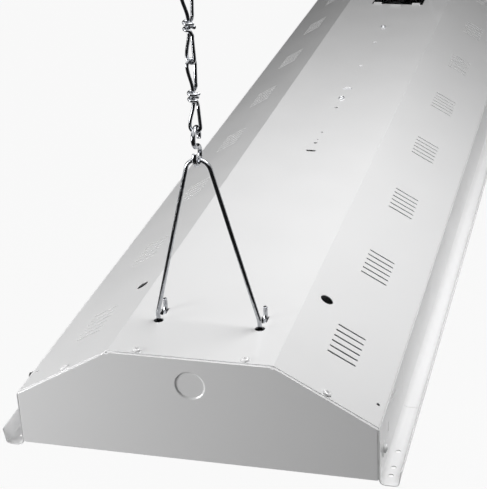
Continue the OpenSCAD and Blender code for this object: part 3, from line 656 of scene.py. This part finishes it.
def screw_axes(node):
    """The top of each screw's head, the way out of it and its length: among the ways that screws here can
    point, the one about which the screw is slimmest, with the wide end outwards."""
    level, upright = math.sin(shoulder_slope), math.cos(shoulder_slope)
    ways = np.array([(0, 0, 1), (1, 0, 0), (level, 0, upright), (-level, 0, upright), (0, 1, 0)], float)
    found = []
    for points in separate_screws(node):
        best = None
        for way in ways:
            across = points - np.outer(points @ way, way)
            middle = (across.min(0) + across.max(0)) / 2
            out = np.linalg.norm(across - middle, axis=1)
            if best is None or out.max() < best[0] - slimmer_by:
                best = (out.max(), way, middle, out)
        widest, way, middle, out = best
        t = points @ way
        if t[out > wide_share * widest].mean() < t.mean():
            way, t = -way, -t
        found.append((middle + way * t.max(), way, t.max() - t.min()))
    return found


def rings_about_z(radius, height, angle):
    """Rings of points about Z at these angles, whose radius and height may change by ring and by point."""
    radius, height, angle = np.broadcast_arrays(radius, height, angle)
    return np.stack([radius * np.cos(angle), radius * np.sin(angle), height], -1)


def screw_skin(length):
    """A screw about Z with its head's top at zero, as rings. The head falls by one less the root of one
    less the cube of the share of its radius, and is pressed in by a cross with sloped walls and a round
    pit. The thread's radius falls and rises evenly with the height in pitches plus the share of a turn, and
    the tip is a short cone."""
    angle = np.linspace(0, 2 * np.pi, screw_sides, endpoint=False)
    share = np.concatenate([np.linspace(first, last, dome_rings) for first, last in dome_parts])[:, None]
    radius = screw_head_r * share
    dome = -screw_head_h * dome_share * (1 - np.sqrt(np.maximum(1 - share ** 3, 0)))
    x, y = np.abs(radius * np.cos(angle)), np.abs(radius * np.sin(angle))
    edge, wall = recess_half_w * recess_edge_share, recess_half_w * recess_wall_share
    arm_x = np.clip((edge - y) / wall, 0, 1) * (x < recess_reach)
    arm_y = np.clip((edge - x) / wall, 0, 1) * (y < recess_reach)
    pit = recess_pit_depth * np.clip((recess_pit_r - radius) / (pit_wall_share * recess_pit_r), 0, 1)
    sunk = np.maximum(recess_depth * np.maximum(arm_x, arm_y), pit)
    rim_r = np.array([[screw_head_r], [screw_head_r - rim_in], [screw_shank_r]])
    rim_z = -screw_head_h + np.array([[screw_head_h * (1 - rim_share)], [rim_lift], [neck_lift]])
    down = np.linspace(-screw_head_h - thread_start, -length + point_len, thread_rings)[:, None]
    wave = np.abs((down / thread_pitch + angle / (2 * np.pi)) % 1 - 0.5) * 2
    tip = rings_about_z([[tip_root_r], [tip_r]], [[-length + tip_len], [-length]], angle)
    return np.concatenate([rings_about_z(radius, dome - sunk, angle), rings_about_z(rim_r, rim_z, angle),
                           rings_about_z(screw_shank_r - thread_depth * (1 - wave), down, angle), tip])


def dress_screws(node, material):
    """Domed screws with a pressed cross and a rolled thread in the place of a CAD node's, each turned a
    little further about its axis than the last one."""
    pieces = []
    for k, (top, way, length) in enumerate(screw_axes(node)):
        side = unit(np.cross(way, screw_askew))
        side = side * math.cos(screw_turn * k) + np.cross(way, side) * math.sin(screw_turn * k)
        basis = np.stack([side, np.cross(way, side), way])
        piece = mesh_from_rings(f"{node}_{k + 1}", screw_skin(length) @ basis + top)
        for p in piece.data.polygons:
            p.use_smooth = True
        piece.data.materials.append(material)
        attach(piece, nodes[node]["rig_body"])
        pieces.append(piece)
    for piece in pieces:
        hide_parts(node)


class Nodes:
    """A material's node tree, with short ways to add the nodes that the finishes here share."""

    def __init__(self, name, colour, metallic, roughness):
        self.material = bpy.data.materials.new(name)
        self.material.use_nodes = True
        self.tree = self.material.node_tree
        self.shader = self.tree.nodes["Principled BSDF"]
        self.shader.inputs["Base Color"].default_value = (*colour, 1)
        self.shader.inputs["Metallic"].default_value = metallic
        self.shader.inputs["Roughness"].default_value = roughness
        self.place = self.tree.nodes.new("ShaderNodeTexCoord").outputs["Object"]

    def join(self, out, into):
        """A link from one node's output to another's input."""
        self.tree.links.new(out, into)

    def stretched(self, scale):
        """Object coordinates scaled differently along each axis."""
        node = self.tree.nodes.new("ShaderNodeMapping")
        node.inputs["Scale"].default_value = scale
        self.join(self.place, node.inputs["Vector"])
        return node.outputs["Vector"]

    def noise(self, cells, detail, vector=None):
        """Noise of so many cells a metre, from 0 to 1."""
        node = self.tree.nodes.new("ShaderNodeTexNoise")
        node.inputs["Scale"].default_value = cells
        node.inputs["Detail"].default_value = detail
        self.join(vector or self.place, node.inputs["Vector"])
        return node.outputs["Fac"]

    def ranged(self, value, span, goal):
        """A value taken from one range to another, and held at its ends."""
        node = self.tree.nodes.new("ShaderNodeMapRange")
        for key, number in zip(("From Min", "From Max", "To Min", "To Max"), (*span, *goal)):
            node.inputs[key].default_value = number
        self.join(value, node.inputs["Value"])
        return node.outputs["Result"]

    def mixed(self, share, first, second):
        """One colour to another by a share."""
        node = self.tree.nodes.new("ShaderNodeMix")
        node.data_type = "RGBA"
        self.join(share, node.inputs["Factor"])
        for socket, colour in ((node.inputs["A"], first), (node.inputs["B"], second)):
            if isinstance(colour, tuple):
                socket.default_value = (*colour, 1)
            else:
                self.join(colour, socket)
        return node.outputs["Result"]

    def two_tone(self, value, span, dark, light):
        """A colour that goes from dark to light while a value crosses a span."""
        return self.mixed(self.ranged(value, span, (0, 1)), dark, light)

    def colour(self, out):
        """The surface's colour."""
        self.join(out, self.shader.inputs["Base Color"])

    def roughness(self, value, span, goal):
        """The surface's roughness, from one goal to the other while a value crosses a span."""
        self.join(self.ranged(value, span, goal), self.shader.inputs["Roughness"])

    def clear_skin(self, weight, roughness):
        """A clear coat over the surface."""
        self.shader.inputs["Coat Weight"].default_value = weight
        self.shader.inputs["Coat Roughness"].default_value = roughness

    def bump(self, height, strength, depth):
        """Height, in metres at full scale, pressed into the normal."""
        node = self.tree.nodes.new("ShaderNodeBump")
        node.inputs["Strength"].default_value = strength
        node.inputs["Distance"].default_value = depth
        self.join(height, node.inputs["Height"])
        self.join(node.outputs["Normal"], self.shader.inputs["Normal"])


def enamel():
    """White baked enamel on steel sheet: a faint orange peel, patches a little duller, and a clear skin."""
    look = Nodes("white_enamel", colour=(0.865, 0.865, 0.868), metallic=0, roughness=0.34)
    haze = look.noise(cells=5, detail=2)
    sheen = look.noise(cells=30, detail=2)
    peel = look.noise(cells=1100, detail=1)
    look.colour(look.two_tone(haze, (0.2, 0.8), dark=(0.855, 0.855, 0.858), light=(0.876, 0.876, 0.878)))
    look.roughness(sheen, (0.2, 0.8), (0.32, 0.42))
    look.bump(peel, strength=0.08, depth=0.00006)
    look.clear_skin(weight=0.6, roughness=0.05)
    return look.material


def zinc_plate():
    """Bright zinc on drawn wire: fine lines along the wire and cloudy patches."""
    look = Nodes("bright_zinc", colour=(0.4, 0.41, 0.43), metallic=1, roughness=0.16)
    lines = look.noise(cells=1, detail=4, vector=look.stretched((2600, 2600, 160)))
    clouds = look.noise(cells=420, detail=3)
    look.colour(look.two_tone(clouds, (0.35, 0.65), dark=(0.34, 0.35, 0.37), light=(0.48, 0.49, 0.51)))
    look.roughness(lines, (0.3, 0.7), (0.1, 0.22))
    look.bump(lines, strength=0.2, depth=0.00003)
    return look.material


def reflector_sheet():
    """Specular aluminium sheet with rolling lines along the light."""
    look = Nodes("reflector_sheet", colour=(0.82, 0.83, 0.84), metallic=1, roughness=0.18)
    lines = look.noise(cells=1, detail=5, vector=look.stretched((1400, 12, 1400)))
    look.colour(look.two_tone(lines, (0.3, 0.7), dark=(0.76, 0.77, 0.78), light=(0.86, 0.87, 0.88)))
    look.roughness(lines, (0.3, 0.7), (0.14, 0.26))
    look.bump(lines, strength=0.15, depth=0.00005)
    return look.material


def tube_glass():
    """A lamp tube: milky phosphor behind clear glass, greyed near both ends, at 556 to 585 mm from the
    middle of the light."""
    look = Nodes("tube_glass", colour=(0.92, 0.93, 0.92), metallic=0, roughness=0.35)
    split = look.tree.nodes.new("ShaderNodeSeparateXYZ")
    look.join(look.place, split.inputs["Vector"])
    from_middle = maths(look.tree, "ABSOLUTE", split.outputs["Y"])
    ends = look.ranged(from_middle, (0.556, 0.585), (0, 1))
    grains = look.noise(cells=300, detail=4)
    powder = look.two_tone(grains, (0.4, 0.6), dark=(0.9, 0.91, 0.9), light=(0.93, 0.94, 0.93))
    look.colour(look.mixed(ends, powder, (0.6, 0.6, 0.58)))
    look.roughness(look.noise(cells=700, detail=2), (0.3, 0.7), (0.3, 0.45))
    look.clear_skin(weight=1, roughness=0.03)
    return look.material


def metal(name, dark, light, rough, grain):
    """A plain worked metal: colour and roughness that vary with a grain of so many cells a metre."""
    look = Nodes(name, light, metallic=1, roughness=rough)
    cells = look.noise(cells=grain, detail=4)
    look.colour(look.two_tone(cells, (0.35, 0.65), dark, light))
    look.roughness(cells, (0.3, 0.7), (rough * 0.75, rough * 1.25))
    look.bump(cells, strength=0.12, depth=0.00005)
    return look.material


def plastic(name, dark, light, rough, grain):
    """Moulded plastic: a fine spark-eroded grain and slight mottling, some times coarser than the grain."""
    look = Nodes(name, light, metallic=0, roughness=rough)
    mottling = look.noise(cells=grain / 12, detail=3)
    sheen = look.noise(cells=grain / 4, detail=2)
    look.colour(look.two_tone(mottling, (0.3, 0.7), dark, light))
    look.roughness(sheen, (0.3, 0.7), (rough * 0.85, rough * 1.15))
    look.bump(look.noise(cells=grain, detail=2), strength=0.2, depth=0.00005)
    return look.material


def matte(name, grey):
    """A plain dull paint or cloth of one grey."""
    material = bpy.data.materials.new(name)
    material.use_nodes = True
    shader = material.node_tree.nodes["Principled BSDF"]
    shader.inputs["Base Color"].default_value = (grey, grey, grey, 1)
    shader.inputs["Roughness"].default_value = dull_roughness
    return material


def set_camera():
    """The photograph's camera."""
    data = bpy.data.cameras.new("camera")
    data.lens = camera_lens
    data.clip_start = camera_near
    data.clip_end = camera_far
    camera = linked("camera", data)
    turn = camera_look.to_track_quat("-Z", "Y").to_matrix().to_4x4()
    camera.matrix_world = Matrix.Translation(camera_place) @ turn @ Matrix.Rotation(camera_roll, 4, "Z")
    bpy.context.scene.camera = camera


def area_light(name, place, target, size, watts):
    """A square soft light at a place, facing a target."""
    data = bpy.data.lights.new(name, "AREA")
    data.size = size
    data.energy = watts
    lamp = linked(name, data)
    turn = (Vector(target) - Vector(place)).to_track_quat("-Z", "Y").to_matrix().to_4x4()
    lamp.matrix_world = Matrix.Translation(Vector(place)) @ turn
    lamp.visible_camera = False


def maths(tree, operation, first, second=None):
    """One step of arithmetic on one or two values, of which the second may be a plain number."""
    node = tree.nodes.new("ShaderNodeMath")
    node.operation = operation
    tree.links.new(first, node.inputs[0])
    if isinstance(second, (int, float)):
        node.inputs[1].default_value = second
    elif second:
        tree.links.new(second, node.inputs[1])
    return node.outputs[0]


def white_to_the_eye(tree, shader, white_share, strength):
    """Mixes a shader with a plain white that only the camera, mirrors and glass see."""
    path = tree.nodes.new("ShaderNodeLightPath")
    either = maths(tree, "MAXIMUM", path.outputs["Is Camera Ray"], path.outputs["Is Glossy Ray"])
    any_of_them = maths(tree, "MAXIMUM", either, path.outputs["Is Transmission Ray"])
    share = maths(tree, "MULTIPLY", any_of_them, white_share)
    white_kind = "ShaderNodeBackground" if shader.type == "BACKGROUND" else "ShaderNodeEmission"
    plain_white = tree.nodes.new(white_kind)
    plain_white.inputs["Color"].default_value = (1, 1, 1, 1)
    plain_white.inputs["Strength"].default_value = strength
    mix = tree.nodes.new("ShaderNodeMixShader")
    tree.links.new(share, mix.inputs["Fac"])
    tree.links.new(shader.outputs[0], mix.inputs[1])
    tree.links.new(plain_white.outputs[0], mix.inputs[2])
    out = next(n for n in tree.nodes if n.type in ("OUTPUT_MATERIAL", "OUTPUT_WORLD"))
    tree.links.new(mix.outputs[0], out.inputs["Surface"])


def set_world():
    """A white world that gives a little even light."""
    world = bpy.data.worlds.new("studio")
    bpy.context.scene.world = world
    world.use_nodes = True
    sky = world.node_tree.nodes["Background"]
    sky.inputs["Color"].default_value = (1, 1, 1, 1)
    sky.inputs["Strength"].default_value = sky_strength
    white_to_the_eye(world.node_tree, sky, white_share=1, strength=1)


def set_floor():
    """A pale floor well below the light, which shows mostly white and keeps the light's shadow."""
    s, z = floor_half, floor_z
    mesh = bpy.data.meshes.new("floor")
    mesh.from_pydata([(-s, -s, z), (s, -s, z), (s, s, z), (-s, s, z)], [], [(0, 1, 2, 3)])
    floor = linked("floor", mesh)
    paint = matte("floor_paint", floor_grey)
    shader = paint.node_tree.nodes["Principled BSDF"]
    white_to_the_eye(paint.node_tree, shader, floor_white_share, floor_white)
    mesh.materials.append(paint)


def dark_card(name, first, last, profile):
    """A dark card round the near end, for gloss and bright wire to mirror: a profile of reaches and heights
    turned from one angle to another about an upright line. It casts no shadow, and neither the camera nor
    the soft light meets it."""
    angle = np.linspace(math.radians(first), math.radians(last), card_points)
    reach, height = np.array(profile, float)[:, :, None].transpose(1, 0, 2)
    points = rings_about_z(reach, height, angle) + (0, card_middle_y, 0)
    rows = card_points * np.arange(len(profile) - 1)[:, None]
    k = (np.arange(card_points - 1) + rows).ravel()
    faces = np.stack([k, k + 1, k + card_points + 1, k + card_points], -1)
    mesh = bpy.data.meshes.new(name)
    mesh.from_pydata(points.reshape(-1, 3).tolist(), [], faces.tolist())
    card = linked(name, mesh)
    mesh.materials.append(matte(f"{name}_cloth", card_grey))
    card.visible_camera = False
    card.visible_diffuse = False
    card.visible_shadow = False


white = enamel()
zinc = zinc_plate()
reflector = reflector_sheet()
glass = tube_glass()
aluminium = metal("cap_aluminium", (0.66, 0.67, 0.68), (0.78, 0.79, 0.8), rough=0.28, grain=900)
brass = metal("pin_brass", (0.7, 0.55, 0.3), (0.85, 0.72, 0.45), rough=0.22, grain=1500)
screw_steel = metal("screw_steel", (0.6, 0.61, 0.63), (0.74, 0.75, 0.77), rough=0.3, grain=1200)
holder_white = plastic("holder_white", (0.84, 0.84, 0.82), (0.88, 0.88, 0.86), rough=0.42, grain=4000)
plug_black = plastic("plug_black", (0.02, 0.02, 0.02), (0.05, 0.05, 0.05), rough=0.45, grain=4000)
sleeve_black = plastic("lead_sleeve", (0.015, 0.015, 0.015), (0.04, 0.04, 0.04), rough=0.6, grain=2600)
case_enamel = plastic("ballast_case", (0.78, 0.79, 0.81), (0.84, 0.85, 0.87), rough=0.35, grain=1400)

# What each slot's pieces are made of, and how wide their edges are rounded
finishes = {
    "white_enamel": (white, sheet_edge),
    "black_plastic": (plug_black, sheet_edge),
    "white_plastic": (holder_white, moulded_edge / 2),
    "tube_glass": (glass, least_edge),
    "cap_aluminium": (aluminium, sheet_edge),
    "pin_brass": (brass, sheet_edge),
    "reflector_aluminium": (reflector, least_edge),
    "ballast_case": (case_enamel, moulded_edge),
    "lead_sheath": (sleeve_black, least_edge),
}
screw_finishes = {"white_screws": white, "zinc_screws": screw_steel}

# Pieces whose form or edges differ from the solid's: how each is reshaped, and what says its edges' widths
special = {
    "near_end_plate": (reshape_end_plate, plate_edge_width),
    "far_end_plate": (reshape_end_plate, plate_edge_width),
    "housing": (draw_back_ends, housing_edge_width),
    "left_rail": (reshape_rail, None),
    "right_rail": (reshape_rail, None),
}
for end in ("near", "far"):
    for hand in ("left", "right"):
        special[f"{end}_{hand}_rail_end"] = (reshape_rail, corner_edge_width)

for part in frame["record"]["subparts"]:
    node, slot_name = part["node"], part["material_slot"]
    if slot_name in screw_finishes:
        dress_screws(node, screw_finishes[slot_name])
    elif slot_name in finishes:
        material, edge = finishes[slot_name]
        dressed(node, material, slot_edge if node == "housing" else edge, slot_name, *special.get(node, ()))

hang_wires()
set_camera()
set_world()
set_floor()
for name, lamp in lamps.items():
    area_light(name, **lamp)
for name, card in cards.items():
    dark_card(name, **card)
bpy.context.scene.view_settings.view_transform = "Standard"
